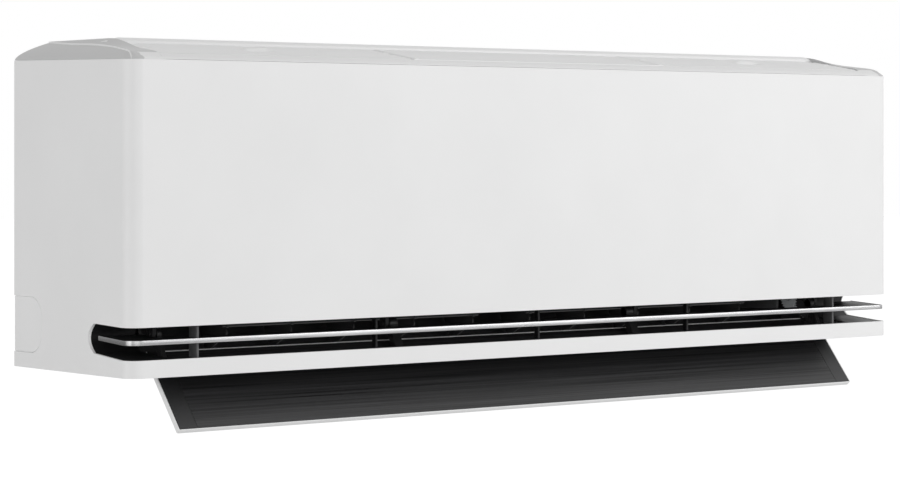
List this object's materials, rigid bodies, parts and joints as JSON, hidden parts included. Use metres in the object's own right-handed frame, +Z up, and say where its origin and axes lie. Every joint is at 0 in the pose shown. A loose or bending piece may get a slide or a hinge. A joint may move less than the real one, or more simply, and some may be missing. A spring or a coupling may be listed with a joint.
{
  "type": "mini split indoor unit",
  "caption": "Wall-hung split air conditioner indoor unit with a wrap-round front air slot, silver blade and a drop-down lower vane moved by linked arms.",
  "frame": {"origin": "centre of the wall plate's back face, on the wall", "axes": "+X along the unit to the right as seen from the front, +Y into the wall, +Z up"},
  "size_m": [1, 0.21, 0.3671],
  "materials": {
    "white_shell": "smooth semi-matt white moulding",
    "top_white": "fine-grained white moulding",
    "black_gloss": "polished black moulding",
    "silver_trim": "satin silver strip",
    "grey_post": "satin grey",
    "brushed_panel": "black with fine lengthwise brushing",
    "dark_plastic": "fine matt black",
    "inner_plastic": "plain light grey moulding",
    "zinc_steel": "galvanised sheet",
    "aluminium_fins": "stacked thin fins",
    "copper": "drawn copper tube",
    "circuit_board": "green board"
  },
  "bodies": {
    "casing": {"wall_plate": "zinc_steel", "rear_chassis": "dark_plastic", "front_cover": "white_shell", "top_frame": "top_white", "intake_grille": "top_white", "knockout_cover_left": "white_shell", "knockout_cover_right": "white_shell", "bottom_cover": "white_shell", "cover_screw_left": "zinc_steel", "cover_screw_right": "zinc_steel", "slot_liner": "black_gloss", "blade_post_left": "grey_post", "blade_post_right": "grey_post", "blade_trim": "silver_trim", "blade_plate": "black_gloss", "vane_motor": "zinc_steel", "duct_front_wall": "black_gloss", "drain_pan": "inner_plastic", "louvre_motor_left": "zinc_steel", "louvre_motor_right": "zinc_steel", "fan_bearing": "inner_plastic", "fan_motor": "zinc_steel", "motor_clamp": "zinc_steel", "evaporator_front": "aluminium_fins", "evaporator_rear": "aluminium_fins", "tube_sheet_left": "copper", "tube_sheet_right": "zinc_steel", "gas_pipe": "copper", "liquid_pipe": "copper", "control_box": "inner_plastic", "control_box_cover": "zinc_steel", "main_board": "circuit_board", "terminal_block": "dark_plastic", "display_board": "circuit_board", "air_sensor": "copper"},
    "filter_left": {"pre_filter_left": "top_white"},
    "filter_right": {"pre_filter_right": "top_white"},
    "vane_arms": {"vane_arm_left": "dark_plastic", "vane_arm_right": "dark_plastic", "vane_support_left": "dark_plastic", "vane_support_right": "dark_plastic"},
    "lower_vane": {"vane_shell": "white_shell", "vane_panel": "brushed_panel", "vane_end_left": "dark_plastic", "vane_end_right": "dark_plastic"},
    "drive_gear": {"drive_gear": "inner_plastic"},
    "louvre_left_1": {"louvre_left_1": "dark_plastic"},
    "louvre_left_2": {"louvre_left_2": "dark_plastic"},
    "louvre_left_3": {"louvre_left_3": "dark_plastic"},
    "louvre_left_4": {"louvre_left_4": "dark_plastic"},
    "louvre_left_5": {"louvre_left_5": "dark_plastic"},
    "louvre_link_left": {"louvre_link_left": "dark_plastic"},
    "louvre_right_1": {"louvre_right_1": "dark_plastic"},
    "louvre_right_2": {"louvre_right_2": "dark_plastic"},
    "louvre_right_3": {"louvre_right_3": "dark_plastic"},
    "louvre_right_4": {"louvre_right_4": "dark_plastic"},
    "louvre_right_5": {"louvre_right_5": "dark_plastic"},
    "louvre_link_right": {"louvre_link_right": "dark_plastic"},
    "fan": {"cross_flow_fan": "dark_plastic"},
    "button": {"power_button": "inner_plastic"}
  },
  "joints": [
    {"name": "filter_left_lift", "type": "slide", "parent": "casing", "child": "filter_left", "axis": [0, -0.162, 0.9868], "range_m": [0, 0.06]},
    {"name": "filter_right_lift", "type": "slide", "parent": "casing", "child": "filter_right", "axis": [0, -0.162, 0.9868], "range_m": [0, 0.06]},
    {"name": "vane_arm_swing", "type": "hinge", "parent": "casing", "child": "vane_arms", "pos_m": [0, -0.15, -0.115], "axis": [1, 0, 0], "range_deg": [0, 67.34]},
    {"name": "vane_tilt", "type": "hinge", "parent": "vane_arms", "child": "lower_vane", "pos_m": [0, -0.1644, -0.14411], "axis": [1, 0, 0], "range_deg": [-118.04, 0.2]},
    {"name": "drive_gear_spin", "type": "hinge", "parent": "casing", "child": "drive_gear", "pos_m": [0.4355, -0.12, -0.111], "axis": [1, 0, 0], "range_deg": [-101.5, 0.5]},
    {"name": "louvre_left_1_swing", "type": "hinge", "parent": "casing", "child": "louvre_left_1", "pos_m": [-0.038, -0.0765, -0.109], "axis": [0, -0.8725, 0.4887], "range_deg": [-35, 35]},
    {"name": "louvre_left_2_swing", "type": "hinge", "parent": "casing", "child": "louvre_left_2", "pos_m": [-0.114, -0.0765, -0.109], "axis": [0, -0.8725, 0.4887], "range_deg": [-35, 35]},
    {"name": "louvre_left_3_swing", "type": "hinge", "parent": "casing", "child": "louvre_left_3", "pos_m": [-0.19, -0.0765, -0.109], "axis": [0, -0.8725, 0.4887], "range_deg": [-35, 35]},
    {"name": "louvre_left_4_swing", "type": "hinge", "parent": "casing", "child": "louvre_left_4", "pos_m": [-0.266, -0.0765, -0.109], "axis": [0, -0.8725, 0.4887], "range_deg": [-35, 35]},
    {"name": "louvre_left_5_swing", "type": "hinge", "parent": "casing", "child": "louvre_left_5", "pos_m": [-0.342, -0.0765, -0.109], "axis": [0, -0.8725, 0.4887], "range_deg": [-35, 35]},
    {"name": "louvre_link_left_pivot", "type": "hinge", "parent": "louvre_left_1", "child": "louvre_link_left", "pos_m": [-0.038, -0.13239, -0.11153], "axis": [0, -0.8725, 0.4887], "range_deg": [-35, 35]},
    {"name": "louvre_right_1_swing", "type": "hinge", "parent": "casing", "child": "louvre_right_1", "pos_m": [0.038, -0.0765, -0.109], "axis": [0, -0.8725, 0.4887], "range_deg": [-35, 35]},
    {"name": "louvre_right_2_swing", "type": "hinge", "parent": "casing", "child": "louvre_right_2", "pos_m": [0.114, -0.0765, -0.109], "axis": [0, -0.8725, 0.4887], "range_deg": [-35, 35]},
    {"name": "louvre_right_3_swing", "type": "hinge", "parent": "casing", "child": "louvre_right_3", "pos_m": [0.19, -0.0765, -0.109], "axis": [0, -0.8725, 0.4887], "range_deg": [-35, 35]},
    {"name": "louvre_right_4_swing", "type": "hinge", "parent": "casing", "child": "louvre_right_4", "pos_m": [0.266, -0.0765, -0.109], "axis": [0, -0.8725, 0.4887], "range_deg": [-35, 35]},
    {"name": "louvre_right_5_swing", "type": "hinge", "parent": "casing", "child": "louvre_right_5", "pos_m": [0.342, -0.0765, -0.109], "axis": [0, -0.8725, 0.4887], "range_deg": [-35, 35]},
    {"name": "louvre_link_right_pivot", "type": "hinge", "parent": "louvre_right_1", "child": "louvre_link_right", "pos_m": [0.038, -0.13239, -0.11153], "axis": [0, -0.8725, 0.4887], "range_deg": [-35, 35]},
    {"name": "fan_spin", "type": "hinge", "parent": "casing", "child": "fan", "pos_m": [0, -0.092, -0.005], "axis": [1, 0, 0], "continuous": true},
    {"name": "power_button_press", "type": "slide", "parent": "casing", "child": "button", "axis": [0, 0, 1], "range_m": [0, 0.0012], "stiffness_N_per_m": 150, "springref_m": -0.002}
  ],
  "couplings": [
    {"joint": "vane_tilt", "follows": "vane_arm_swing", "ratio": -1.7499},
    {"joint": "drive_gear_spin", "follows": "vane_arm_swing", "ratio": -1.5},
    {"joint": "louvre_left_2_swing", "follows": "louvre_left_1_swing", "ratio": 1},
    {"joint": "louvre_left_3_swing", "follows": "louvre_left_1_swing", "ratio": 1},
    {"joint": "louvre_left_4_swing", "follows": "louvre_left_1_swing", "ratio": 1},
    {"joint": "louvre_left_5_swing", "follows": "louvre_left_1_swing", "ratio": 1},
    {"joint": "louvre_link_left_pivot", "follows": "louvre_left_1_swing", "ratio": -1},
    {"joint": "louvre_right_2_swing", "follows": "louvre_right_1_swing", "ratio": 1},
    {"joint": "louvre_right_3_swing", "follows": "louvre_right_1_swing", "ratio": 1},
    {"joint": "louvre_right_4_swing", "follows": "louvre_right_1_swing", "ratio": 1},
    {"joint": "louvre_right_5_swing", "follows": "louvre_right_1_swing", "ratio": 1},
    {"joint": "louvre_link_right_pivot", "follows": "louvre_right_1_swing", "ratio": -1}
  ]
}
